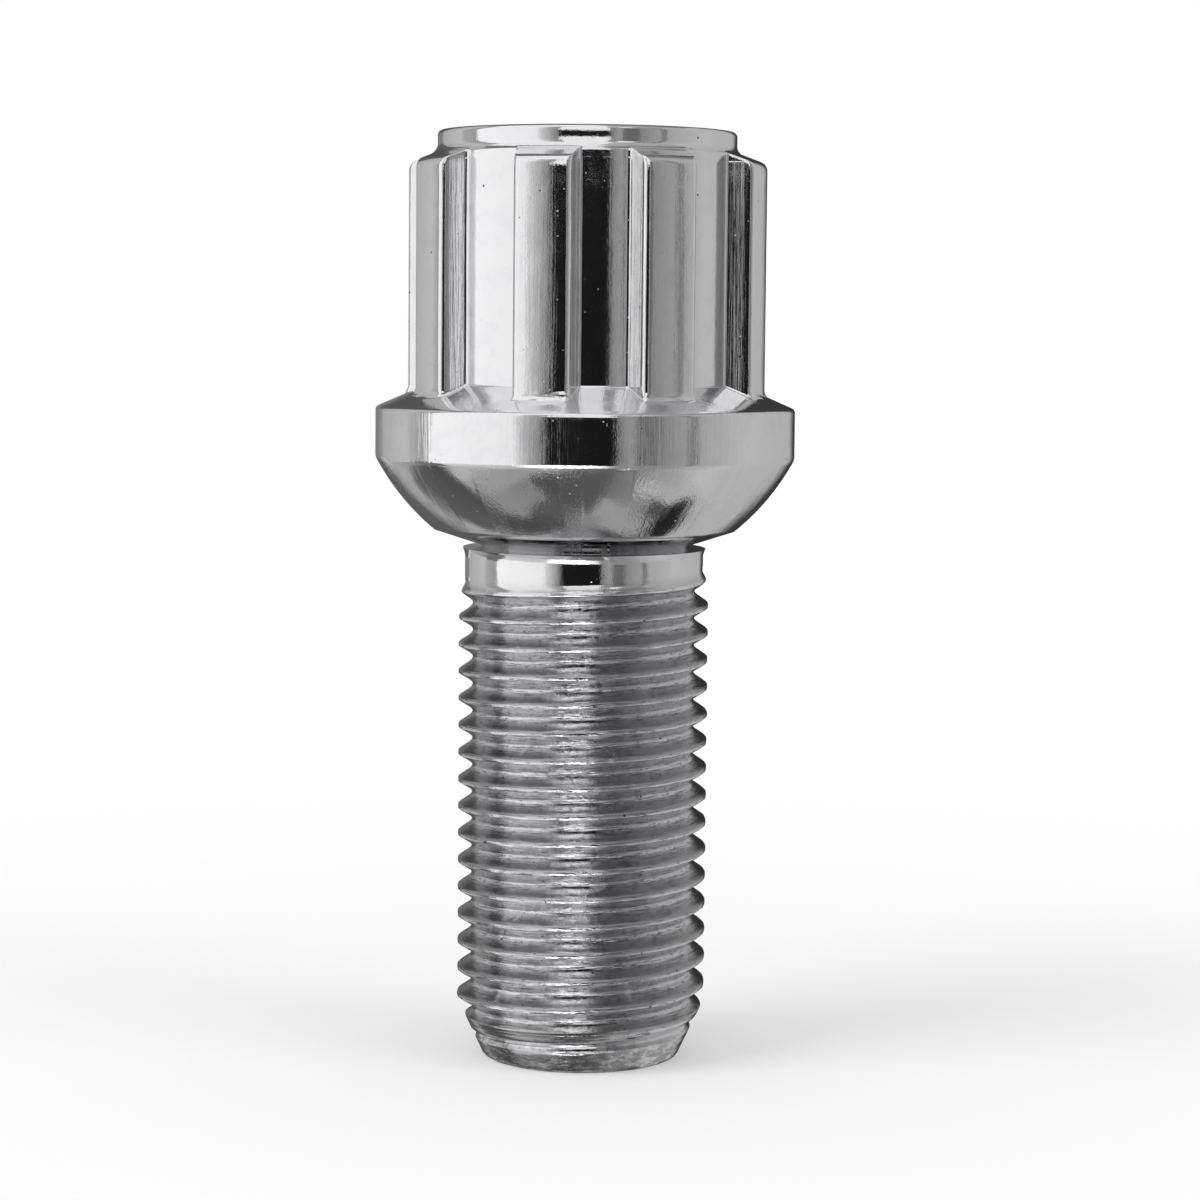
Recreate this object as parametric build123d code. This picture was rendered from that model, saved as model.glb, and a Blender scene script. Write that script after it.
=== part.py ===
from build123d import *
import math
import os

# Wheel bolt, forged and turned as one piece, standing on its threaded end.
# The origin is the centre of the end face and +Z runs up the axis to the head.
# Lengths are in millimetres and angles in degrees. The key groove faces -Y.

# Shank, with its M14 x 1.5 thread drawn as a cylinder over the crests
thread_diameter = 13.82
shank_length = 28.2            # end face to the ledge at the top of the neck
end_face_diameter = 10.8
end_face_chamfer = 0.2
point_length = 3.2             # cone that leads the thread into the hub

# Smooth neck between the thread and the seat
neck_length = 1.95             # with the thread's run-out below it
neck_diameter = 13.36          # at the sharp corner on its top
neck_waist_depth = 0.12        # hollow between its two ends
thread_runout_length = 0.3

# Undercut between the neck and the seat
neck_ledge_width = 0.64
undercut_diameter = 11.3
undercut_height = 0.16         # bottom of the groove above the neck's ledge

# Ball seat
seat_ball_radius = 13.0
seat_height = 4.95             # neck's ledge to the lower edge of the rim
seat_inner_diameter = 16.6     # a flatter cone runs in from here to the undercut

# Flange
flange_diameter = 23.0
rim_height = 2.74              # straight band round the flange, up to its cone
rim_chamfer = 0.2              # on its upper edge
seat_edge_radius = 0.8         # rounds its lower edge into the seat
flange_cone_angle = 23.6       # rise of the upper face towards the head

# Splined head: lands that a key socket slides over, one pitch narrower than the rest
land_count = 8
key_pitch = 40.8               # between the two lands beside the key groove
land_diameter = 19.78
groove_floor_diameter = 17.0
land_tip_width = 3.12
land_root_width = 3.3
land_edge_radius = 0.35        # long outer edges
land_root_radius = 0.22        # long inner corners
land_height = 13.25            # rim's upper edge to the outer corner of the lands
land_top_radius = 0.6          # rounding of that corner

# Shoulder above the lands, and the disc on top
shoulder_angle = 20.5
disc_foot_diameter = 16.8
disc_foot_height = 0.12
disc_flare_height = 0.3        # from the foot in to the disc's side
disc_diameter = 16.32
disc_height = 1.2              # shoulder to the top face
disc_edge_chamfer = 0.25

# Radii
thread_radius = thread_diameter / 2
neck_radius = neck_diameter / 2
seat_inner_radius = seat_inner_diameter / 2
flange_radius = flange_diameter / 2
land_radius = land_diameter / 2
groove_floor_radius = groove_floor_diameter / 2
disc_radius = disc_diameter / 2
disc_foot_radius = disc_foot_diameter / 2

# Heights above the end face
neck_bottom = shank_length - neck_length
thread_top = neck_bottom - thread_runout_length
undercut_z = shank_length + undercut_height
rim_bottom = shank_length + seat_height
rim_top = rim_bottom + rim_height
land_top = rim_top + land_height
shoulder_top = land_top + (land_radius - disc_foot_radius) * math.tan(math.radians(shoulder_angle))
disc_top = shoulder_top + disc_height


def ball_drop(radius):
    """How far the seat's ball lies below its centre at this radius."""
    return math.sqrt(seat_ball_radius**2 - radius**2)


def cone_height(radius):
    """Height of the flange's upper face at this radius."""
    return rim_top + (flange_radius - radius) * math.tan(math.radians(flange_cone_angle))


def corner(profile, radial, height):
    """The corner of a flat profile that lies nearest this radius and height."""
    return profile.vertices().sort_by_distance((radial, height, 0))[0]


def spin(profile):
    """A body turned about the bolt's axis from a flat profile of radius and height."""
    return revolve(Plane.XZ * profile, Axis.Z, 360)


def shank_and_flange():
    """Point, thread, neck, undercut, ball seat and flange, closed by the flange's cone."""
    ball_centre = rim_bottom + ball_drop(flange_radius)
    seat_inner_z = ball_centre - ball_drop(seat_inner_radius)
    cone_apex = cone_height(0)

    below_neck = Polyline(
        (0, cone_apex),
        (0, 0),
        (end_face_diameter / 2, 0),
        (thread_radius, point_length),
        (thread_radius, thread_top),
        (neck_radius, neck_bottom),
    )
    waist = ThreePointArc(
        (neck_radius, neck_bottom),
        (neck_radius - neck_waist_depth, (neck_bottom + shank_length) / 2),
        (neck_radius, shank_length),
    )
    undercut = Polyline(
        (neck_radius, shank_length),
        (neck_radius - neck_ledge_width, shank_length),
        (undercut_diameter / 2, undercut_z),
        (seat_inner_radius, seat_inner_z),
    )
    mid_radius = (seat_inner_radius + flange_radius) / 2
    ball = ThreePointArc(
        (seat_inner_radius, seat_inner_z),
        (mid_radius, ball_centre - ball_drop(mid_radius)),
        (flange_radius, rim_bottom),
    )
    rim = Polyline(
        (flange_radius, rim_bottom),
        (flange_radius, rim_top),
        (0, cone_apex),
    )
    profile = make_face([*below_neck.edges(), waist, *undercut.edges(), ball, *rim.edges()])
    profile = chamfer(corner(profile, end_face_diameter / 2, 0), end_face_chamfer)
    profile = chamfer(corner(profile, flange_radius, rim_top), rim_chamfer)
    profile = fillet(corner(profile, flange_radius, rim_bottom), seat_edge_radius)
    return spin(profile)


def head_blank():
    """The head as turned, before its grooves: lands, shoulder and disc."""
    foot_top = shoulder_top + disc_foot_height
    profile = make_face(
        Polyline(
            (0, rim_bottom),
            (land_radius, rim_bottom),
            (land_radius, land_top),
            (disc_foot_radius, shoulder_top),
            (disc_foot_radius, foot_top),
            (disc_radius, foot_top + disc_flare_height),
            (disc_radius, disc_top),
            (0, disc_top),
            (0, rim_bottom),
        )
    )
    profile = fillet(corner(profile, land_radius, land_top), land_top_radius)
    profile = chamfer(corner(profile, disc_radius, disc_top), disc_edge_chamfer)
    return spin(profile)


def land_angles():
    """Angle of each land about the axis, with the key groove between the last and the first."""
    pitch = (360 - key_pitch) / (land_count - 1)
    key_groove = -90
    return [key_groove + key_pitch / 2 + n * pitch for n in range(land_count)]


def spline_section():
    """Cross-section of the head: a round core with the lands standing out of it."""
    beyond = land_radius + land_edge_radius
    lean = (land_root_width - land_tip_width) / 2 / (land_radius - groove_floor_radius)
    inner_half = land_root_width / 2 + groove_floor_radius * lean
    outer_half = land_tip_width / 2 - (beyond - land_radius) * lean
    land = make_face(
        Polyline(
            (0, -inner_half),
            (beyond, -outer_half),
            (beyond, outer_half),
            (0, inner_half),
            (0, -inner_half),
        )
    )
    section = Circle(groove_floor_radius)
    for angle in land_angles():
        section += Rot(0, 0, angle) * (land & Circle(land_radius))
    middle = (groove_floor_radius + land_radius) / 2
    outer = [v for v in section.vertices() if v.distance_to((0, 0, 0)) > middle]
    section = fillet(outer, land_edge_radius)
    inner = [v for v in section.vertices() if v.distance_to((0, 0, 0)) < groove_floor_radius * 1.01]
    return fillet(inner, land_root_radius)


def splined_head():
    """The blank with its grooves cut down to the core."""
    length = disc_top - rim_bottom
    prism = extrude(Pos(0, 0, rim_bottom) * spline_section(), length)
    return head_blank() & prism


def wheel_bolt():
    """The whole bolt."""
    return shank_and_flange() + splined_head()


os.makedirs("parts", exist_ok=True)
export_step(wheel_bolt(), "parts/wheel_bolt.step")
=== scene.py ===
import bmesh
import bpy
import math
from mathutils import Matrix, Quaternion, Vector, noise


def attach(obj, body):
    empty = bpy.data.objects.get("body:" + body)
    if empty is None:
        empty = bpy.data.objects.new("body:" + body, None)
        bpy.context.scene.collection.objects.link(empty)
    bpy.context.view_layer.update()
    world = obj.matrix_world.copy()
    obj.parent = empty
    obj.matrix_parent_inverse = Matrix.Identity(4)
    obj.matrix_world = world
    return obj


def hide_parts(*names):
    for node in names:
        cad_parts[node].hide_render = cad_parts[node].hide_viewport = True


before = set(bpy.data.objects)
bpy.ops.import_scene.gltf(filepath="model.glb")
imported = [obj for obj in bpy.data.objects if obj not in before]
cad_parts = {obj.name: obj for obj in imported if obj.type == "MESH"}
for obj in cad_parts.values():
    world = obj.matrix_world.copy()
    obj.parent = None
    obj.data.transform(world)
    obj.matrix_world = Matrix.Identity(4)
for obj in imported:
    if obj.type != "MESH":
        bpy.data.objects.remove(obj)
bpy.context.scene.view_settings.view_transform = "Standard"
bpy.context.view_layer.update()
mm = 0.001
print("frame loaded")

# camera: level with the top of the head, at the photograph's distance
cameraValues = dict(
    azimuth=-6.65,  # degrees round the bolt from the key groove
    height=41.4,  # mm above the floor
    distance=180.0,  # mm from the bolt's axis
    aimHeight=25.3,  # mm, the height at the picture's centre
    aimRight=0.9,  # mm that the picture's centre lies right of the axis
    roll=0.52,  # degrees that the bolt leans to the right
    lens=98.3,
    clip=(0.01, 10),  # metres
)


# a place round the bolt, by its angle from the camera
def aroundBolt(azimuth, distance, height):
    turn = math.radians(cameraValues["azimuth"] + azimuth)
    return Vector((math.sin(turn) * distance, -math.cos(turn) * distance, height)) * mm


def makeCamera(v):
    camera = bpy.data.objects.new("photoCamera", bpy.data.cameras.new("photoCamera"))
    bpy.context.collection.objects.link(camera)
    right = aroundBolt(90, v["aimRight"], 0)
    camera.location = aroundBolt(0, v["distance"], v["height"]) + right
    aim = right + Vector((0, 0, v["aimHeight"] * mm)) - camera.location
    camera.rotation_mode = "QUATERNION"
    roll = Quaternion((0, 0, 1), math.radians(v["roll"]))
    camera.rotation_quaternion = aim.to_track_quat("-Z", "Y") @ roll
    camera.data.lens = v["lens"]
    camera.data.clip_start, camera.data.clip_end = v["clip"]
    bpy.context.scene.camera = camera


makeCamera(cameraValues)
print("camera placed")

# splined head, flange and ball seat, in mm and degrees
headValues = dict(
    lands=8,
    keyPitch=40.8,
    landRadius=9.89,
    floorRadius=8.5,
    landTipHalf=1.56,
    landRootHalf=1.65,
    landEdge=0.35,
    landRoot=0.22,
    landTop=49.14,
    landTopEdge=0.6,
    shoulderAngle=20.5,
    discFoot=8.4,
    discRadius=8.16,
    discTop=50.89,
    discEdge=0.27,
    rimRadius=11.495,
    rimTop=35.89,
    rimBottom=33.15,
    rimEdge=0.25,
    seatEdge=0.8,
    coneAngle=23.6,
    ballRadius=13.0,
    seatInner=8.3,
    undercutRadius=5.65,
    undercutHeight=28.36,
    ledgeRadius=6.04,
    # how far one surface rounds into the next
    flareHeight=0.42,
    grooveInset=0.35,
    grooveFoot=0.14,
    crownBlend=0.22,
    crownStart=0.08,  # depth below a tip at which the crown is fully rounded
    tipDepth=0.12,  # what lies within this depth of a tip counts as the tip
    landFoot=0.15,
    landFootReach=0.85,
    landFootSpill=0.3,  # its reach outside the land
    landFootUneven=(0.45, 0.6),  # of its reach and of its height
    landFootNoise=(13, 2),  # how often that changes round the bolt and outwards
    # how deep the surface sinks, and how wide the wide and the fine dips are
    ripple=0.014,
    rippleWidths=(2.3, 0.9),
    rippleMix=(0.5, 0.35, 0.15),  # the mean depth, and what the wide and the fine dips add
    # strength of the die's streaks on a land's tip, edge, wall and root and on the groove's floor
    dieStreaks=(0.25, 0.5, 1, 1, 0.12),
    # rows of the mesh down each stretch
    landRows=17,
    footRows=18,
    coneRows=7,
    bandRows=6,
    seatRows=14,
    undercutRows=6,
)

# shank with its rolled thread, in mm
shankValues = dict(
    length=28.2,
    pitch=1.5,
    crest=6.9,
    root=6.09,
    endRoot=5.72,
    blank=6.55,
    neckFlare=0.13,
    neckFlareHeight=0.55,
    plainNeck=0.3,
    crestFlat=0.075,  # half widths and roundings of the profile, in pitches
    crestBlend=0.09,
    rootFlat=0.11,
    rootBlend=0.42,
    crestPhase=0.745,  # height of the first crest, in pitches
    rootPhase=0.535,  # height of a root above the crest below it, in pitches
    crestWear=0.035,
    crestWearNoise=(9, 1.3),  # how often that changes round the bolt and up it
    lastGroove=15,
    runOut=(20, 130),  # degrees over which the last groove fades
    endRadius=5.4,
    endEdge=0.2,
    pointLength=3.2,
    pointBlend=0.06,
    rootTaper=(1.0, 3.6),  # heights between which the root falls to the end's
    rolledFrom=(1.0, 3.0),  # heights over which the rolled finish begins
    woundRadius=6.5,
    columns=140,
    # rows of the mesh over one pitch
    rows=(-0.065, -0.02, 0.03, 0.08, 0.11, 0.17, 0.24, 0.31, 0.38)
    + (0.44, 0.49, 0.535, 0.58, 0.63, 0.69, 0.77, 0.85, 0.9),
)


def smoothStep(low, high, x):
    t = min(max((x - low) / (high - low), 0), 1)
    return t * t * (3 - 2 * t)


# points of an arc in a plane, from one angle to another
def arc(x, y, radius, fromAngle, toAngle, steps):
    points = []
    for i in range(steps + 1):
        a = math.radians(fromAngle + (toAngle - fromAngle) * i / steps)
        points.append((x + radius * math.cos(a), y + radius * math.sin(a)))
    return points


# one half of a land, from the middle of its tip to the middle of the groove beside it,
# each point with the strength of the streaks that the drawing die left there
def landHalf(v, pitch):
    tip, root = v["landRadius"], v["floorRadius"]
    edge, inner = v["landEdge"], v["landRoot"]
    tipY = v["landTipHalf"] - edge
    tipX = math.sqrt((tip - edge) ** 2 - tipY**2)
    rootY = v["landRootHalf"] + inner
    rootX = math.sqrt((root + inner) ** 2 - rootY**2)
    tipAngle = math.degrees(math.atan2(tipY, tipX))
    rootAngle = math.degrees(math.atan2(rootY, rootX))
    tipArc = arc(0, 0, tip, 0, tipAngle, 6)[:-1]
    edgeArc = arc(tipX, tipY, edge, tipAngle, 90, 5)
    wallTop, wallFoot = Vector(edgeArc[-1]), Vector((rootX, rootY - inner))
    wall = [tuple(wallTop.lerp(wallFoot, i / 5)) for i in (1, 2, 3, 4)]
    rootArc = arc(rootX, rootY, inner, -90, rootAngle - 180, 4)[:-1]
    floorArc = arc(0, 0, root, rootAngle, pitch / 2, 8)
    outline = []
    stretches = (tipArc, edgeArc, wall, rootArc, floorArc)
    for points, drawn in zip(stretches, v["dieStreaks"]):
        outline += [(x, y, drawn) for x, y in points]
    return outline


# the whole section as angle, radius and streaks, one column of the mesh each
def headColumns(v):
    pitch = (360 - v["keyPitch"]) / (v["lands"] - 1)
    columns = []
    for n in range(v["lands"]):
        middle = -90 + v["keyPitch"] / 2 + n * pitch
        before = v["keyPitch"] if n == 0 else pitch
        after = v["keyPitch"] if n == v["lands"] - 1 else pitch
        left = [(x, -y, drawn) for x, y, drawn in landHalf(v, before)][::-1]
        right = landHalf(v, after)[1:-1]
        for x, y, drawn in left + right:
            columns.append((math.radians(middle) + math.atan2(y, x), math.hypot(x, y), drawn))
    return columns


def coneHeight(v, radius):
    return v["rimTop"] + (v["rimRadius"] - radius) * math.tan(math.radians(v["coneAngle"]))


# the turned profile as rows: radius, height, and how evenly the columns stand
def headRows(v):
    top, disc, foot, edge = v["discTop"], v["discRadius"], v["discFoot"], v["discEdge"]
    slope = math.tan(math.radians(v["shoulderAngle"]))
    shoulder = v["landTop"] + (v["landRadius"] - foot) * slope
    rows = [(r, z, 1) for r, z in arc(disc - edge, top - edge, edge, 90, 0, 6)]
    flareTop = shoulder + v["flareHeight"]
    rows += [(disc, top - edge - (top - edge - flareTop) * i / 3, 1) for i in (1, 2, 3)]
    for i in (1, 2, 3, 4):
        t = i / 4
        rows.append((disc + (foot - disc) * t * t, flareTop - (flareTop - shoulder) * t, 1 - t))
    # shoulder, then the rounded tops of the lands
    blend = v["landTopEdge"]
    cut = blend * math.tan(math.radians(90 - v["shoulderAngle"]) / 2)
    middleZ = v["landTop"] - cut
    topAngle = 90 - v["shoulderAngle"]
    crown = arc(v["landRadius"] - blend, middleZ, blend, topAngle, 0, 8)
    for i in range(1, 8):
        t = i / 8
        rows.append((foot + (crown[0][0] - foot) * t, shoulder + (crown[0][1] - shoulder) * t, 0))
    rows += [(r, z, 0) for r, z in crown]
    # down the lands to the flange's cone
    inside = v["floorRadius"] - v["grooveInset"]
    straightEnd = coneHeight(v, inside)
    for i in range(1, v["landRows"]):
        part = (i / v["landRows"]) ** 1.5
        rows.append((v["landRadius"] + 1, middleZ + (straightEnd - middleZ) * part, 0))
    outside = v["landRadius"] + 0.1
    for i in range(v["footRows"] + 1):
        r = inside + (outside - inside) * i / v["footRows"]
        rows.append((r, coneHeight(v, r), 0))
    edge = v["rimEdge"]
    rimEnd = v["rimRadius"] - edge
    for i in range(1, v["coneRows"]):
        r = outside + (rimEnd - outside) * i / v["coneRows"]
        rows.append((r, coneHeight(v, r), i / (v["coneRows"] - 1)))
    rimZ = coneHeight(v, rimEnd) - edge / math.cos(math.radians(v["coneAngle"]))
    rows += [(r, z, 1) for r, z in arc(rimEnd, rimZ, edge, 90 - v["coneAngle"], 0, 4)]
    ballZ = v["rimBottom"] + math.sqrt(v["ballRadius"] ** 2 - v["rimRadius"] ** 2)
    cornerR = v["rimRadius"] - v["seatEdge"]
    cornerZ = ballZ - math.sqrt((v["ballRadius"] - v["seatEdge"]) ** 2 - cornerR**2)
    cornerTurn = math.degrees(math.atan2(cornerZ - ballZ, cornerR))
    for i in range(1, v["bandRows"]):
        rows.append((v["rimRadius"], rimZ + (cornerZ - rimZ) * i / v["bandRows"], 1))
    corner = arc(cornerR, cornerZ, v["seatEdge"], 0, cornerTurn, 8)
    rows += [(r, z, 1) for r, z in corner]
    # ball seat, the flatter cone inside it, and the undercut
    seatStart = corner[-1][0]
    for i in range(1, v["seatRows"] + 1):
        r = seatStart + (v["seatInner"] - seatStart) * (i / v["seatRows"]) ** 0.9
        rows.append((r, ballZ - math.sqrt(v["ballRadius"] ** 2 - r**2), 1))
    seatZ = rows[-1][1]
    for i in range(1, v["undercutRows"] + 1):
        t = i / v["undercutRows"]
        r = v["seatInner"] + (v["undercutRadius"] - v["seatInner"]) * t
        rows.append((r, seatZ + (v["undercutHeight"] - seatZ) * t, 1))
    rows.append((v["undercutRadius"] + 0.1, v["undercutHeight"] - 0.1, 1))
    rows.append((v["ledgeRadius"], shankValues["length"], 1))
    return rows


# the larger of two values, with their crossing rounded
def softMax(a, b, blend):
    h = max(blend - abs(a - b), 0) / blend
    return max(a, b) + h * h * blend / 4


# the lands spread a little where they run into the flange, and unevenly
def landFoot(v, radius, outline, angle):
    around, outwards = v["landFootNoise"]
    place = (math.cos(angle) * around, math.sin(angle) * around, radius * outwards)
    uneven = noise.noise(Vector(place))
    ofReach, ofHeight = v["landFootUneven"]
    if radius < outline:
        reach = v["landFootReach"] * (1 + ofReach * uneven)
    else:
        reach = v["landFootSpill"]
    swell = max(0, 1 - abs(outline - radius) / reach)
    return max(radius, outline) + v["landFoot"] * (1 + ofHeight * uneven) * swell**2


def buildHead(bm, v):
    columns = headColumns(v)
    count = len(columns)
    start = columns[0][0]
    drawnMarks = bm.verts.layers.float.new("drawn")
    ring = bmesh.ops.create_circle(bm, segments=count, radius=v["discRadius"] * mm)["verts"]
    edges = list({e for vert in ring for e in vert.link_edges})
    ring.sort(key=lambda vert: (math.atan2(vert.co.y, vert.co.x) - start + 0.001) % math.tau)
    firstEdges = edges
    onCone = coneHeight(v, v["floorRadius"] - 0.4)
    for n, (radius, height, even) in enumerate(headRows(v)):
        if n:
            made = bmesh.ops.extrude_edge_only(bm, edges=edges)["geom"]
            edges = [g for g in made if isinstance(g, bmesh.types.BMEdge)]
            nextTo = {}
            for g in made:
                if isinstance(g, bmesh.types.BMVert):
                    for e in g.link_edges:
                        nextTo[e.other_vert(g)] = g
            ring = [nextTo[vert] for vert in ring]
        for i, vert in enumerate(ring):
            angle, outline, drawn = columns[i]
            angle += ((start + math.tau * i / count) - angle) * even
            if height > onCone:
                besideTip = smoothStep(0.0, v["crownStart"], v["landRadius"] - outline)
                r = -softMax(-radius, -outline, 0.002 + v["crownBlend"] * besideTip)
                if height < v["landTop"]:
                    vert[drawnMarks] = drawn
            elif even < 1 and outline > v["landRadius"] - v["tipDepth"]:
                r = landFoot(v, radius, outline, angle)
            elif even < 1:
                r = softMax(radius, outline, v["grooveFoot"])
            else:
                r = radius
            vert.co = Vector((r * math.cos(angle), r * math.sin(angle), height)) * mm
    return firstEdges


# height of the rolled thread across one pitch, 0 at the root and 1 at the crest
def threadShape(v, phase):
    up = phase - math.floor(phase)
    d = up / v["rootPhase"] / 2 if up < v["rootPhase"] else (1 - up) / (1 - v["rootPhase"]) / 2
    flank = (0.5 - v["rootFlat"] - d) / (0.5 - v["rootFlat"] - v["crestFlat"])
    return softMax(-softMax(-flank, -1, v["crestBlend"]), 0, v["rootBlend"])


# how far the groove with this number reaches, as it fades out behind the neck
def grooveReach(v, groove, turn):
    if groove <= v["lastGroove"]:
        return 1
    if groove > v["lastGroove"] + 1:
        return 0
    return 1 - smoothStep(*v["runOut"], math.degrees(turn))


# the place along the thread in turns, whole at the crests, and the reach of the grooves there
def threadPlace(v, turn, height):
    along = height / v["pitch"] - turn / math.tau - v["crestPhase"]
    groove = math.floor(along - 0.5)
    between = smoothStep(0, 1, along - 0.5 - groove)
    here, above = grooveReach(v, groove, turn), grooveReach(v, groove + 1, turn)
    return along, here * (1 - between) + above * between


def shankRadius(v, turn, height):
    along, reach = threadPlace(v, turn, height)
    root = v["endRoot"] + (v["root"] - v["endRoot"]) * smoothStep(*v["rootTaper"], height)
    thread = root + (v["crest"] - root) * threadShape(v, along)
    # crests worn unevenly
    around, upwards = v["crestWearNoise"]
    place = (math.cos(turn) * around, math.sin(turn) * around, height * upwards)
    worn = 1 + noise.noise(Vector(place))
    thread -= v["crestWear"] * worn * max(0, thread - v["blank"]) / (v["crest"] - v["blank"])
    r = v["blank"] + (thread - v["blank"]) * reach
    r += v["neckFlare"] * max(0, 1 - (v["length"] - height) / v["neckFlareHeight"]) ** 2
    cone = v["endRadius"] + height * (v["crest"] - v["endRadius"]) / v["pointLength"]
    if height < v["endEdge"]:
        cone -= v["endEdge"] - math.sqrt(v["endEdge"] ** 2 - (v["endEdge"] - height) ** 2)
    return -softMax(-r, -cone, v["pointBlend"])


def buildShank(bm, v):
    turns = int(v["length"] / v["pitch"]) + 2
    heights = []
    for n in range(-2, turns):
        heights += [(n + v["crestPhase"] + row) * v["pitch"] for row in v["rows"]]
    start = [bm.verts.new((1, 0, z)) for z in heights]
    line = [bm.edges.new(pair) for pair in zip(start, start[1:])]
    bmesh.ops.spin(
        bm,
        geom=start + line,
        axis=(0, 0, 1),
        cent=(0, 0, 0),
        dvec=(0, 0, v["pitch"] / v["columns"]),
        angle=math.tau,
        steps=v["columns"],
    )
    for vert in bm.verts:
        turn = math.atan2(vert.co.y, vert.co.x) % math.tau
        if turn > math.tau - 1e-5:
            turn = 0.0
        height = min(max(vert.co.z, 0), v["length"])
        r = shankRadius(v, turn, height)
        vert.co = Vector((r * math.cos(turn), r * math.sin(turn), height)) * mm
    bmesh.ops.remove_doubles(bm, verts=bm.verts, dist=0.002 * mm)
    bmesh.ops.dissolve_degenerate(bm, edges=bm.edges, dist=0.001 * mm)


# forged surfaces are never quite true: the head sinks by a hundredth of a millimetre here and there
def rippleHead(bm, v):
    bm.normal_update()
    for vert in bm.verts:
        place = vert.co / mm
        if v["undercutHeight"] + 0.5 < place.z < v["discTop"] - 0.3:
            wide, fine = (noise.noise(place / width) for width in v["rippleWidths"])
            mean, ofWide, ofFine = v["rippleMix"]
            dip = mean + ofWide * wide + ofFine * fine
            vert.co -= vert.normal * v["ripple"] * max(0, dip) * mm


# where the rolled thread is, and a map that is wound along it
def markThread(bm, v):
    rolled = bm.verts.layers.float.new("rolled")
    for vert in bm.verts:
        place = vert.co / mm
        if place.z < v["length"] - v["plainNeck"]:
            reach = threadPlace(v, math.atan2(place.y, place.x) % math.tau, place.z)[1]
            vert[rolled] = reach * smoothStep(*v["rolledFrom"], place.z)
    wound = bm.loops.layers.uv.new("wound")
    for face in bm.faces:
        middle = face.calc_center_median()
        faceTurn = math.atan2(middle.y, middle.x) % math.tau
        for loop in face.loops:
            place = loop.vert.co / mm
            turn = math.atan2(place.y, place.x) % math.tau
            turn += round((faceTurn - turn) / math.tau) * math.tau
            loop[wound].uv = (v["woundRadius"] * turn, place.z - v["pitch"] * turn / math.tau)


def buildBolt():
    shank = bmesh.new()
    buildShank(shank, shankValues)
    shankMesh = bpy.data.meshes.new("shank")
    shank.to_mesh(shankMesh)
    shank.free()
    bm = bmesh.new()
    topEdges = buildHead(bm, headValues)
    cap = bmesh.ops.holes_fill(bm, edges=topEdges)["faces"]
    bmesh.ops.inset_region(bm, faces=cap, thickness=0.25 * mm, use_even_offset=True)
    bm.from_mesh(shankMesh)
    openEdges = [e for e in bm.edges if e.is_boundary]
    ledgeHeight = shankValues["length"] * mm
    atTop = [e for e in openEdges if all(abs(vert.co.z - ledgeHeight) < 1e-6 for vert in e.verts)]
    atEnd = [e for e in openEdges if all(vert.co.z < 1e-6 for vert in e.verts)]
    print("open edges", len(openEdges), "at the ledge", len(atTop), "at the end", len(atEnd))
    bmesh.ops.bridge_loops(bm, edges=atTop)
    bmesh.ops.holes_fill(bm, edges=atEnd)
    bmesh.ops.recalc_face_normals(bm, faces=bm.faces)
    rippleHead(bm, headValues)
    markThread(bm, shankValues)
    mesh = bpy.data.meshes.new("wheelBolt")
    for face in bm.faces:
        face.smooth = True
    bm.to_mesh(mesh)
    bm.free()
    mesh.set_sharp_from_angle(angle=math.radians(40))
    bolt = bpy.data.objects.new("wheelBolt", mesh)
    bpy.context.collection.objects.link(bolt)
    return bolt


bolt = buildBolt()
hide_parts("wheel_bolt")
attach(bolt, "root")
print("bolt built,", len(bolt.data.polygons), "faces")

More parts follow.
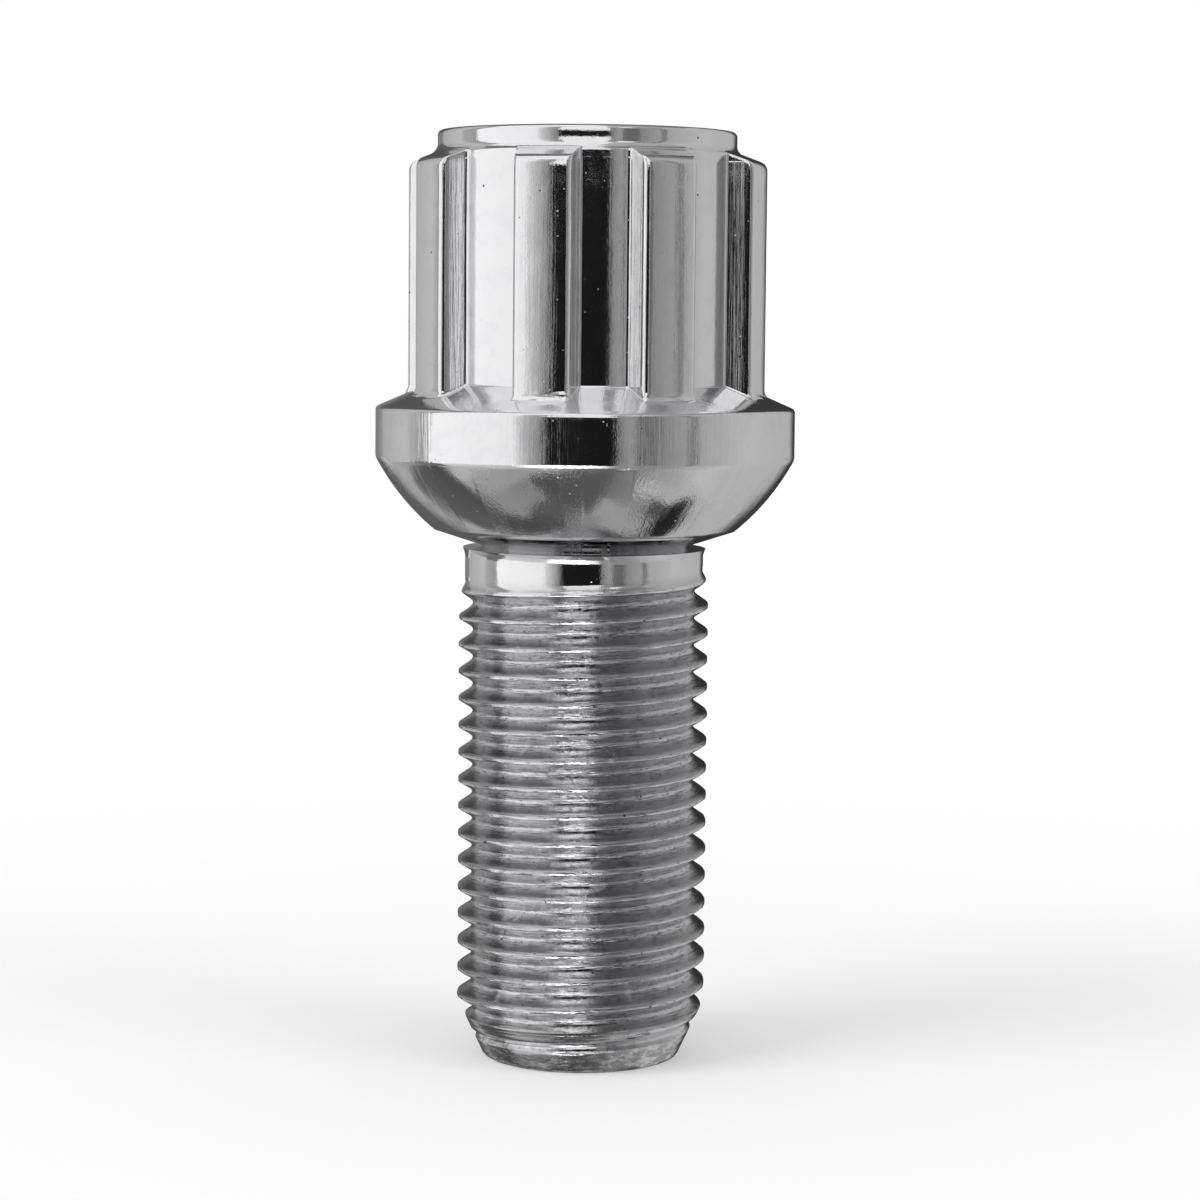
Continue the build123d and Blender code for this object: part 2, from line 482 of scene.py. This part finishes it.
# chrome plating over forged and rolled steel
platingValues = dict(
    colour=(0.80, 0.80, 0.81, 1),
    dullColour=(0.765, 0.765, 0.78, 1),
    pitColour=(0.10, 0.10, 0.11, 1),
    stainColour=(0.86, 0.86, 0.88, 1),
    streakColour=(0.13, 0.13, 0.14, 1),
    # painted shade in the recess under the ball seat
    undercutShadeColour=(0.62, 0.62, 0.63, 1),
    pointColour=(0.36, 0.36, 0.37, 1),
    # how strongly each of these colours lies over the plating
    streakCover=0.6,
    stainCover=0.6,
    # how strongly the painted shade under the seat covers the plating
    undercutShadeCover=1.0,
    pointCover=0.85,
    pitCover=1.0,
    # roughness, and what cloudy plating and drawn walls add to it
    roughness=0.045,
    threadRoughness=0.05,
    seatRoughness=0.055,
    stainRoughness=0.42,
    cloudRoughness=0.05,
    drawnRoughness=0.03,
    # heights of the relief, in micrometres
    waves=16.0,
    grain=3.2,
    pointMarks=60.0,
    dieMarks=15.0,
    rollMarks=34.0,
    speckle=9.0,
    torn=28.0,
    pitDepth=9.0,
    finePitDepth=7.0,
    finePitSeat=2.5,  # times as deep on the seat
    plainSpeckle=0.3,  # share of the speckle where nothing was rolled
    plainStreaks=0.3,  # share of the streaks on the smooth part of the thread
    # pits, as cells per mm, radius in cells and the share of cells that hold one
    widePits=(1.15, 0.13, 0.3),
    threadPits=(1.9, 0.22, 0.3),
    finePits=(3.1, 0.17, 0.22),
    pitEdge=(0.25, 0.6),  # depths between which a pit turns dark
    # zones, as the heights in mm between which each fades in and then out
    pointZone=((0.01, 0.06), (1.7, 0.9)),
    # where the painted shade under the seat lies, by height and then by radius
    undercutShadeZone=((28.15, 28.3), (31.0, 30.0)),
    seatZone=((28.6, 29.0), (33.4, 33.0)),
    undercutShadeRadii=(7.4, 6.6),
    # the same from one crest up to the next: where the streaks begin again, and where they end
    streaksIn=(0.2, 0.36),
    streaksOut=(0.04, 0.09),
    # painted light and shade of the plating there, below the root and above it, and where the two
    # meet: painted dark reflections on a crest's upper edge and on the up-facing flank, painted
    # highlights at the root and along a crest's lower edge, and the down-facing flank painted
    # lighter
    paintedLightBelowRoot=((0.0, 0.6), (0.05, 0.44), (0.1, 0.37), (0.2, 0.36), (0.3, 0.44), (0.42, 0.66)),
    paintedLightAboveRoot=((0.5, 0.62), (0.56, 0.54), (0.7, 0.57), (0.85, 0.64), (0.93, 0.93), (1.0, 0.6)),
    paintedLightMeet=(0.48, 0.52),
)

# noise patterns: features per mm along each axis, detail, roughness of the detail, and for
# those that colour the plating the levels between which they set in
platingPatterns = dict(
    waves=((0.55, 0.55, 0.55), 1.0, 0.5),
    grain=((3.4, 3.4, 3.4), 3.0, 0.6),
    pointMarks=((1.1, 1.1, 3.2), 4.0, 0.65, 0.42, 0.56),
    dieMarks=((7.5, 7.5, 0.16), 3.0, 0.6),
    rollMarks=((0.35, 6.0, 1.0), 2.0, 0.6),
    speckle=((11.0, 11.0, 11.0), 2.0, 0.6),
    torn=((1.2, 6.2, 1.0), 2.0, 0.5),
    cloud=((0.9, 0.9, 0.9), 4.0, 0.6, 0.42, 0.7),
    stain=((0.42, 0.42, 0.42), 5.0, 0.62, 0.6, 0.68),
    thinLines=((0.5, 9.0, 1.0), 3.0, 0.7, 0.55, 0.61),
    specks=((1.7, 8.0, 1.0), 2.0, 0.6, 0.59, 0.64),
)


def addNode(tree, kind, inputs=(), **settings):
    node = tree.nodes.new(kind)
    for name, value in settings.items():
        setattr(node, name, value)
    for socket, value in dict(inputs).items():
        if isinstance(value, bpy.types.NodeSocket):
            tree.links.new(value, node.inputs[socket])
        else:
            node.inputs[socket].default_value = value
    return node


def addMath(tree, operation, a, b=0.0, c=0.0):
    return addNode(tree, "ShaderNodeMath", {0: a, 1: b, 2: c}, operation=operation).outputs[0]


# a value eased between two levels, to 0..1 or the other way round
def addStep(tree, value, low, high, fromValue=0.0, toValue=1.0):
    inputs = {"Value": value, "From Min": low, "From Max": high}
    inputs.update({"To Min": fromValue, "To Max": toValue})
    node = addNode(tree, "ShaderNodeMapRange", inputs, interpolation_type="SMOOTHSTEP")
    return node.outputs["Result"]


# 1 between two heights, eased at both ends
def addZone(tree, up, zone):
    fadeIn, fadeOut = zone
    return addMath(tree, "MULTIPLY", addStep(tree, up, *fadeIn), addStep(tree, up, *fadeOut))


def addScaled(tree, place, scale):
    inputs = {0: place, 1: scale}
    return addNode(tree, "ShaderNodeVectorMath", inputs, operation="MULTIPLY").outputs[0]


def addLength(tree, place):
    node = addNode(tree, "ShaderNodeVectorMath", {0: place}, operation="LENGTH")
    return node.outputs["Value"]


def addPattern(tree, place, name):
    stretch, detail, roughness = platingPatterns[name][:3]
    inputs = {"Vector": addScaled(tree, place, stretch), "Scale": 1.0}
    inputs.update({"Detail": detail, "Roughness": roughness})
    return addNode(tree, "ShaderNodeTexNoise", inputs).outputs["Fac"]


# where a pattern stands out, from 0 to 1
def addBlotches(tree, place, name):
    return addStep(tree, addPattern(tree, place, name), *platingPatterns[name][3:])


def addMix(tree, factor, a, b):
    node = addNode(tree, "ShaderNodeMix", data_type="RGBA")
    for socket, value in (("Factor_Float", factor), ("A_Color", a), ("B_Color", b)):
        target = next(s for s in node.inputs if s.identifier == socket)
        if isinstance(value, bpy.types.NodeSocket):
            tree.links.new(value, target)
        else:
            target.default_value = value
    return next(s for s in node.outputs if s.identifier == "Result_Color")


# greys along a value, a trace bluish, as pairs of place and brightness: the thread's painted light
# and shade
def addRamp(tree, value, paintedThreadLight):
    node = addNode(tree, "ShaderNodeValToRGB", {"Fac": value})
    ramp = node.color_ramp
    while len(ramp.elements) < len(paintedThreadLight):
        ramp.elements.new(0.5)
    for element, (spot, tone) in zip(ramp.elements, paintedThreadLight):
        element.position = spot
    for element, (spot, tone) in zip(ramp.elements, paintedThreadLight):
        element.color = (tone, tone, tone * 1.02, 1)
    return node.outputs["Color"]


# small round pits, some larger than others and most places without one
def addPits(tree, place, scale, size, share):
    cells = addNode(tree, "ShaderNodeTexVoronoi", {"Vector": place, "Scale": scale})
    chance = addNode(tree, "ShaderNodeSeparateColor", {0: cells.outputs["Color"]})
    kept = addStep(tree, chance.outputs[0], 1 - share, 1 - share * 0.4)
    reach = addMath(tree, "MULTIPLY", kept, size)
    depth = addMath(tree, "SUBTRACT", reach, cells.outputs["Distance"])
    depth = addMath(tree, "DIVIDE", depth, size)
    return addNode(tree, "ShaderNodeClamp", {"Value": depth}).outputs[0]


# places in mm, the marks that the mesh carries, and the zones: what relief and colour share
def platingPlaces(tree, v):
    inMetres = addNode(tree, "ShaderNodeTexCoord").outputs["Object"]
    place = addScaled(tree, inMetres, (1 / mm, 1 / mm, 1 / mm))
    up = addNode(tree, "ShaderNodeSeparateXYZ", {0: place}).outputs["Z"]
    wound = addNode(tree, "ShaderNodeUVMap", uv_map="wound").outputs[0]
    drawn = addNode(tree, "ShaderNodeAttribute", attribute_name="drawn").outputs["Fac"]
    rolled = addNode(tree, "ShaderNodeAttribute", attribute_name="rolled").outputs["Fac"]
    woundHeight = addNode(tree, "ShaderNodeSeparateXYZ", {0: wound}).outputs["Y"]
    perPitch, firstCrest = 1 / shankValues["pitch"], shankValues["crestPhase"]
    turns = addMath(tree, "MULTIPLY_ADD", woundHeight, perPitch, -firstCrest)
    phase = addMath(tree, "FRACT", turns)  # 0 at a crest, nearly 1 just under the next
    streaksIn = addStep(tree, phase, *v["streaksIn"])
    streaksOut = addStep(tree, phase, *v["streaksOut"], 1.0, 0.0)
    plain = v["plainStreaks"]
    streaky = addMath(tree, "MAXIMUM", streaksIn, streaksOut)
    streaky = addMath(tree, "MULTIPLY_ADD", streaky, 1 - plain, plain)
    threadPits = addMath(tree, "MULTIPLY", addPits(tree, place, *v["threadPits"]), rolled)
    return dict(
        place=place,
        up=up,
        wound=wound,
        drawn=drawn,
        rolled=rolled,
        phase=phase,
        streaks=addMath(tree, "MULTIPLY", streaky, rolled),
        pits=addMath(tree, "MAXIMUM", addPits(tree, place, *v["widePits"]), threadPits),
        onPoint=addZone(tree, up, v["pointZone"]),
        onSeat=addZone(tree, up, v["seatZone"]),
    )


# height of the relief in micrometres, the pits first
def platingRelief(tree, v, p):
    plain = v["plainSpeckle"]
    speckled = addMath(tree, "MULTIPLY_ADD", p["rolled"], 1 - plain, plain)
    layers = (
        ("waves", p["place"], 1.0),
        ("grain", p["place"], 1.0),
        ("pointMarks", p["place"], p["onPoint"]),
        ("dieMarks", p["place"], p["drawn"]),
        ("rollMarks", p["wound"], p["streaks"]),
        ("speckle", p["place"], speckled),
        ("torn", p["wound"], p["streaks"]),
    )
    finePits = addPits(tree, p["place"], *v["finePits"])
    finePits = addMath(tree, "MULTIPLY", finePits, -v["finePitDepth"])
    deeper = addMath(tree, "MULTIPLY_ADD", p["onSeat"], v["finePitSeat"] - 1, 1.0)
    height = addMath(tree, "MULTIPLY", finePits, deeper)
    height = addMath(tree, "MULTIPLY_ADD", p["pits"], -v["pitDepth"], height)
    for name, place, where in layers:
        layer = addMath(tree, "MULTIPLY", addPattern(tree, place, name), v[name])
        height = addMath(tree, "MULTIPLY_ADD", layer, where, height)
    return height


# cloudy plating, the painted light and shade of the thread, and over them what darkens or dulls it,
# painted shade in the undercut among them
def platingColour(tree, v, p, cloud, stain):
    # painted light and shade of the thread, by its place across one pitch
    low = addRamp(tree, p["phase"], v["paintedLightBelowRoot"])
    high = addRamp(tree, p["phase"], v["paintedLightAboveRoot"])
    paintedThreadLight = addMix(tree, addStep(tree, p["phase"], *v["paintedLightMeet"]), low, high)
    thinLines = addBlotches(tree, p["wound"], "thinLines")
    specks = addBlotches(tree, p["wound"], "specks")
    dark = addMath(tree, "MULTIPLY", addMath(tree, "MAXIMUM", thinLines, specks), p["streaks"])
    # painted shade in the recess under the ball seat, near the axis
    radius = addLength(tree, addScaled(tree, p["place"], (1, 1, 0)))
    nearAxis = addStep(tree, radius, *v["undercutShadeRadii"])
    paintedUndercutShade = addMath(tree, "MULTIPLY", nearAxis, addZone(tree, p["up"], v["undercutShadeZone"]))
    dulled = addMath(tree, "MULTIPLY", addBlotches(tree, p["place"], "pointMarks"), p["onPoint"])
    inPits = addStep(tree, p["pits"], *v["pitEdge"])
    colour = addMix(tree, cloud, v["colour"], v["dullColour"])
    # the rolled thread shows its painted light and shade in place of the plating's own colour
    colour = addMix(tree, p["rolled"], colour, paintedThreadLight)
    for where, name in (
        (dark, "streak"),
        (stain, "stain"),
        # painted shade under the seat
        (paintedUndercutShade, "undercutShade"),
        (dulled, "point"),
        (inPits, "pit"),
    ):
        cover = addMath(tree, "MULTIPLY", where, v[name + "Cover"])
        colour = addMix(tree, cover, colour, v[name + "Colour"])
    return colour


def platingRoughness(tree, v, p, cloud, stain):
    roughness = addMath(tree, "MULTIPLY_ADD", cloud, v["cloudRoughness"], v["roughness"])
    for where, more in (
        (p["rolled"], v["threadRoughness"] - v["roughness"]),
        (p["drawn"], v["drawnRoughness"]),
        (p["onSeat"], v["seatRoughness"] - v["roughness"]),
        (stain, v["stainRoughness"] - v["threadRoughness"]),
    ):
        roughness = addMath(tree, "MULTIPLY_ADD", where, more, roughness)
    return roughness


def makePlating(v):
    material = bpy.data.materials.new("chromePlating")
    material.use_nodes = True
    tree = material.node_tree
    shader = tree.nodes["Principled BSDF"]
    shader.inputs["Metallic"].default_value = 1
    places = platingPlaces(tree, v)
    cloud = addBlotches(tree, places["place"], "cloud")
    stain = addBlotches(tree, places["place"], "stain")
    stain = addMath(tree, "MULTIPLY", stain, places["rolled"])
    relief = {"Height": platingRelief(tree, v, places), "Strength": 1.0, "Distance": 1e-6}
    normal = addNode(tree, "ShaderNodeBump", relief).outputs["Normal"]
    tree.links.new(normal, shader.inputs["Normal"])
    tree.links.new(platingColour(tree, v, places, cloud, stain), shader.inputs["Base Color"])
    tree.links.new(platingRoughness(tree, v, places, cloud, stain), shader.inputs["Roughness"])
    return material


bolt.data.materials.append(makePlating(platingValues))
print("plating made")

# studio: cards that only the chrome sees, on a sphere round the bolt; radius and height in mm
studioValues = dict(
    radius=400.0,
    patchRadius=376.0,
    height=28.0,
    rowRise=8,  # degrees that one row of a card's mesh rises at most
    columns=16,
    patchSides=40,
)

# each card is given by its turn from the camera (negative on its left) and its rise, both in
# degrees, and by its brightness from its first turn to its last
cards = [
    dict(name="wallFarLeft", turn=(-180, -146), rise=(-6, 10), light=(0.2, 0.25)),
    dict(name="wallFarLeftHigh", turn=(-180, -146), rise=(10, 50), light=(0.07, 0.14)),
    dict(name="wallFarLeftLow", turn=(-180, -149), rise=(-50, -6), light=(0.1, 0.13)),
    dict(name="wallLeft", turn=(-146, -110), rise=(-18, 50), light=(0.45, 0.62)),
    dict(name="stripLeft", turn=(-149, -137), rise=(-58, -18), light=(0.3, 0.5)),
    dict(name="skirtLeft", turn=(-137, -112), rise=(-28, -18), light=(0.45, 0.3)),
    dict(name="wallEdgeLeft", turn=(-110, -92), rise=(-12, 50), light=(0.48, 0.36)),
    dict(name="skirtEdgeLeft", turn=(-112, -88), rise=(-33, -12), light=(0.2, 0.16)),
    dict(name="shadeLeft", turn=(-137, -99), rise=(-58, -28), light=(0.13, 0.085)),
    dict(name="shadeLeftLow", turn=(-137, -104), rise=(-84, -58), light=(0.09, 0.075)),
    dict(name="softboxLeft", turn=(-92, -37), rise=(-20, 50), light=(1.12, 1.0)),
    dict(name="softboxLeftSkirt", turn=(-88, -40), rise=(-34, -20), light=(0.72, 0.66)),
    dict(name="softboxLeftLow", turn=(-99, -40), rise=(-47, -33), light=(0.52, 0.6)),
    dict(name="tableLeft", turn=(-99, -42), rise=(-60, -47), light=(0.42, 0.36)),
    dict(name="tableLeftLow", turn=(-104, -46), rise=(-71, -58), light=(0.33, 0.25)),
    dict(name="tableLeftSteep", turn=(-112, -40), rise=(-84, -71), light=(0.085, 0.13)),
    dict(name="greyLeft", turn=(-37, -21), rise=(-18, 50), light=(0.75, 0.2)),
    dict(name="lowLampLeft", turn=(-40, -22), rise=(-37, -16), light=(0.7, 2.2)),
    dict(name="lowLamp", turn=(-22, 4), rise=(-36, -17), light=(3.3, 3.0)),
    dict(name="lowLampRight", turn=(4, 18), rise=(-35, -17), light=(1.8, 0.35)),
    dict(name="darkDoor", turn=(-21, 17), rise=(-17, 9), light=(0.012, 0.01)),
    dict(name="tableGlow", turn=(-46, -16), rise=(-58, -36), light=(0.38, 0.5)),
    dict(name="tableFront", turn=(-16, 24), rise=(-58, -35), light=(0.25, 0.13)),
    dict(name="tableDark", turn=(-46, 24), rise=(-78, -58), light=(0.085, 0.12)),
    dict(name="tableDarkSteep", turn=(-40, 24), rise=(-84, -78), light=(0.11, 0.13)),
    dict(name="greyRight", turn=(17, 27), rise=(-39, 50), light=(0.24, 0.4)),
    dict(name="darkRight", turn=(27, 40), rise=(-13, 35), light=(0.17, 0.15)),
    dict(name="darkRightSkirt", turn=(27, 40), rise=(-48, -13), light=(0.25, 0.32)),
    dict(name="fillRight", turn=(40, 58), rise=(-48, 50), light=(0.27, 0.4)),
    dict(name="tableRight", turn=(24, 80), rise=(-61, -48), light=(0.17, 0.48)),
    dict(name="tableRightLow", turn=(24, 80), rise=(-74, -61), light=(0.18, 0.32)),
    dict(name="stripRight", turn=(58, 63), rise=(-20, 50), light=(0.2, 0.24)),
    dict(name="softboxRight", turn=(63, 92), rise=(-24, 50), light=(0.44, 0.54)),
    dict(name="softboxRightSkirt", turn=(58, 92), rise=(-50, -20), light=(0.43, 0.62)),
    dict(name="wallRight", turn=(92, 150), rise=(-50, 50), light=(0.58, 0.5)),
    dict(name="tableFarRight", turn=(80, 160), rise=(-62, -50), light=(0.5, 0.52)),
    dict(name="tableFarRightLow", turn=(80, 160), rise=(-74, -62), light=(0.34, 0.46)),
    dict(name="tableRightSteep", turn=(24, 160), rise=(-84, -74), light=(0.38, 0.36)),
    dict(name="wallFarRight", turn=(150, 158), rise=(-28, 50), light=(0.4, 0.1)),
    dict(name="wallFarRightLow", turn=(150, 160), rise=(-50, -28), light=(0.5, 0.35)),
    dict(name="wallBehind", turn=(158, 180), rise=(-50, 50), light=(0.05, 0.035)),
    dict(name="tableBehind", turn=(160, 223), rise=(-84, -50), light=(0.3, 0.38)),
    dict(name="tableUnder", turn=(-180, 180), rise=(-90, -84), light=(0.28, 0.28)),
    dict(name="ceilingRight", turn=(25, 115), rise=(50, 83), light=(0.5, 0.4)),
    dict(name="ceilingBack", turn=(115, 245), rise=(50, 83), light=(0.2, 0.2)),
]

# round patches nearer than the cards: turn and rise of the middle, width and height in degrees
patches = [
    dict(name="patchGlow", spot=(62, -63), size=(11, 7), turned=-20, light=0.75),
    dict(name="patchDim", spot=(92, -66), size=(15, 8), turned=8, light=0.09),
    dict(name="patchDark", spot=(121, -61), size=(25, 12), turned=0, light=0.02),
    dict(name="patchDarkEnd", spot=(105, -57), size=(10, 8), turned=0, light=0.02),
]


# a glow of one strength, or with none given, of the strength that the mesh carries
def glowing(name, light=None):
    material = bpy.data.materials.new(name)
    material.use_nodes = True
    tree = material.node_tree
    tree.nodes.remove(tree.nodes["Principled BSDF"])
    if light is None:
        light = addNode(tree, "ShaderNodeAttribute", attribute_name="shade").outputs["Fac"]
    glow = addNode(tree, "ShaderNodeEmission", {"Color": (1, 1, 1, 1), "Strength": light})
    tree.links.new(glow.outputs["Emission"], tree.nodes["Material Output"].inputs["Surface"])
    return material


def placeCard(bm, name, material):
    mesh = bpy.data.meshes.new(name)
    bm.to_mesh(mesh)
    bm.free()
    card = bpy.data.objects.new(name, mesh)
    bpy.context.collection.objects.link(card)
    mesh.materials.append(material)
    card.visible_camera = False
    card.visible_diffuse = False
    card.visible_shadow = False
    card.visible_transmission = False


# a place on the studio's sphere
def onSphere(turn, rise, radius):
    flat, up = math.cos(math.radians(rise)), math.sin(math.radians(rise))
    return aroundBolt(turn, radius * flat, studioValues["height"] + radius * up)


# a strip spun round the bolt, graded from one brightness to another
def makeCard(v, material):
    bm = bmesh.new()
    first, last = v["turn"]
    low, high = v["rise"]
    steps = math.ceil((high - low) / studioValues["rowRise"])
    rises = [low + (high - low) * i / steps for i in range(steps + 1)]
    verts = [bm.verts.new(onSphere(first, rise, studioValues["radius"])) for rise in rises]
    edges = [bm.edges.new(pair) for pair in zip(verts, verts[1:])]
    angle = math.radians(last - first)
    bmesh.ops.spin(
        bm,
        geom=verts + edges,
        axis=(0, 0, 1),
        cent=(0, 0, 0),
        angle=angle,
        steps=studioValues["columns"],
    )
    shade = bm.verts.layers.float.new("shade")
    for vert in bm.verts:
        turn = math.degrees(math.atan2(vert.co.x, -vert.co.y)) - cameraValues["azimuth"] - first
        part = ((turn + 10) % 360 - 10) / (last - first)  # 10 so that none wraps at the first edge
        vert[shade] = v["light"][0] + (v["light"][1] - v["light"][0]) * part
    placeCard(bm, v["name"], material)


def makePatch(v):
    bm = bmesh.new()
    radius = studioValues["patchRadius"]
    sides = studioValues["patchSides"]
    bmesh.ops.create_circle(bm, segments=sides, radius=radius * mm, cap_ends=True)
    wide, tall = (math.tan(math.radians(size / 2)) for size in v["size"])
    bmesh.ops.scale(bm, verts=bm.verts, vec=(wide, tall, 1))
    turned = Matrix.Rotation(math.radians(v["turned"]), 3, "Z")
    bmesh.ops.rotate(bm, verts=bm.verts, cent=(0, 0, 0), matrix=turned)
    spot = onSphere(*v["spot"], radius)
    outwards = spot - Vector((0, 0, studioValues["height"] * mm))
    facing = outwards.to_track_quat("Z", "Y").to_matrix()
    bmesh.ops.rotate(bm, verts=bm.verts, cent=(0, 0, 0), matrix=facing)
    bmesh.ops.translate(bm, verts=bm.verts, vec=spot)
    placeCard(bm, v["name"], glowing(v["name"], v["light"]))


cardGlow = glowing("cardGlow")
for card in cards:
    makeCard(card, cardGlow)
for patch in patches:
    makePatch(patch)


# pale paper that fades into the white backdrop away from the bolt
floorValues = dict(
    size=4,  # metres from its middle to a side
    colour=(0.9, 0.9, 0.9, 1),
    roughness=0.9,
    fade=(0.02, 0.11),  # metres from the bolt's axis
    fadeFrom=0.2,  # share of the backdrop's white nearest the bolt
)


def makeFloor(v):
    bm = bmesh.new()
    bmesh.ops.create_grid(bm, x_segments=1, y_segments=1, size=v["size"])
    mesh = bpy.data.meshes.new("floor")
    bm.to_mesh(mesh)
    bm.free()
    floor = bpy.data.objects.new("floor", mesh)
    bpy.context.collection.objects.link(floor)
    material = bpy.data.materials.new("paleFloor")
    material.use_nodes = True
    tree = material.node_tree
    paper = tree.nodes["Principled BSDF"]
    paper.inputs["Base Color"].default_value = v["colour"]
    paper.inputs["Roughness"].default_value = v["roughness"]
    paper.inputs["Specular IOR Level"].default_value = 0
    place = addNode(tree, "ShaderNodeTexCoord").outputs["Object"]
    fade = addStep(tree, addLength(tree, place), *v["fade"], v["fadeFrom"], 1.0)
    glow = addNode(tree, "ShaderNodeEmission", {"Color": (1, 1, 1, 1), "Strength": 1.0}).outputs[0]
    mixed = addNode(tree, "ShaderNodeMixShader", {0: fade, 1: paper.outputs[0], 2: glow}).outputs[0]
    tree.links.new(mixed, tree.nodes["Material Output"].inputs["Surface"])
    mesh.materials.append(material)
    floor.visible_glossy = False  # the chrome sees the cards below the table instead


# strength of the white room where it lights the floor, and where it is seen or mirrored
worldValues = dict(lighting=0.75, seen=1.0)


def makeWorld(v):
    world = bpy.data.worlds.new("paleRoom")
    bpy.context.scene.world = world
    world.use_nodes = True
    tree = world.node_tree
    path = addNode(tree, "ShaderNodeLightPath").outputs
    mirrored = addMath(tree, "MAXIMUM", path["Is Glossy Ray"], path["Is Transmission Ray"])
    seen = addMath(tree, "MAXIMUM", path["Is Camera Ray"], mirrored)
    inputs = {"Value": seen, "To Min": v["lighting"], "To Max": v["seen"]}
    strength = addNode(tree, "ShaderNodeMapRange", inputs).outputs["Result"]
    background = tree.nodes["Background"]
    background.inputs["Color"].default_value = (1, 1, 1, 1)
    tree.links.new(strength, background.inputs["Strength"])


# soft lamps for the floor and the bolt's shadow: turn from the camera in degrees, size and
# place in mm, power in watts
lamps = [
    dict(name="keyLamp", turn=-60, distance=500, height=450, size=350, power=1.6),
    dict(name="fillLamp", turn=60, distance=500, height=350, size=350, power=0.8),
]


def makeLamp(v):
    lamp = bpy.data.lights.new(v["name"], "AREA")
    lamp.shape = "SQUARE"
    lamp.size = v["size"] * mm
    lamp.energy = v["power"]
    holder = bpy.data.objects.new(v["name"], lamp)
    holder.location = aroundBolt(v["turn"], v["distance"], v["height"])
    holder.rotation_mode = "QUATERNION"
    aim = Vector((0, 0, 30 * mm)) - holder.location
    holder.rotation_quaternion = aim.to_track_quat("-Z", "Y")
    holder.visible_glossy = False
    bpy.context.collection.objects.link(holder)


makeFloor(floorValues)
makeWorld(worldValues)
for lamp in lamps:
    makeLamp(lamp)
print("studio ready")
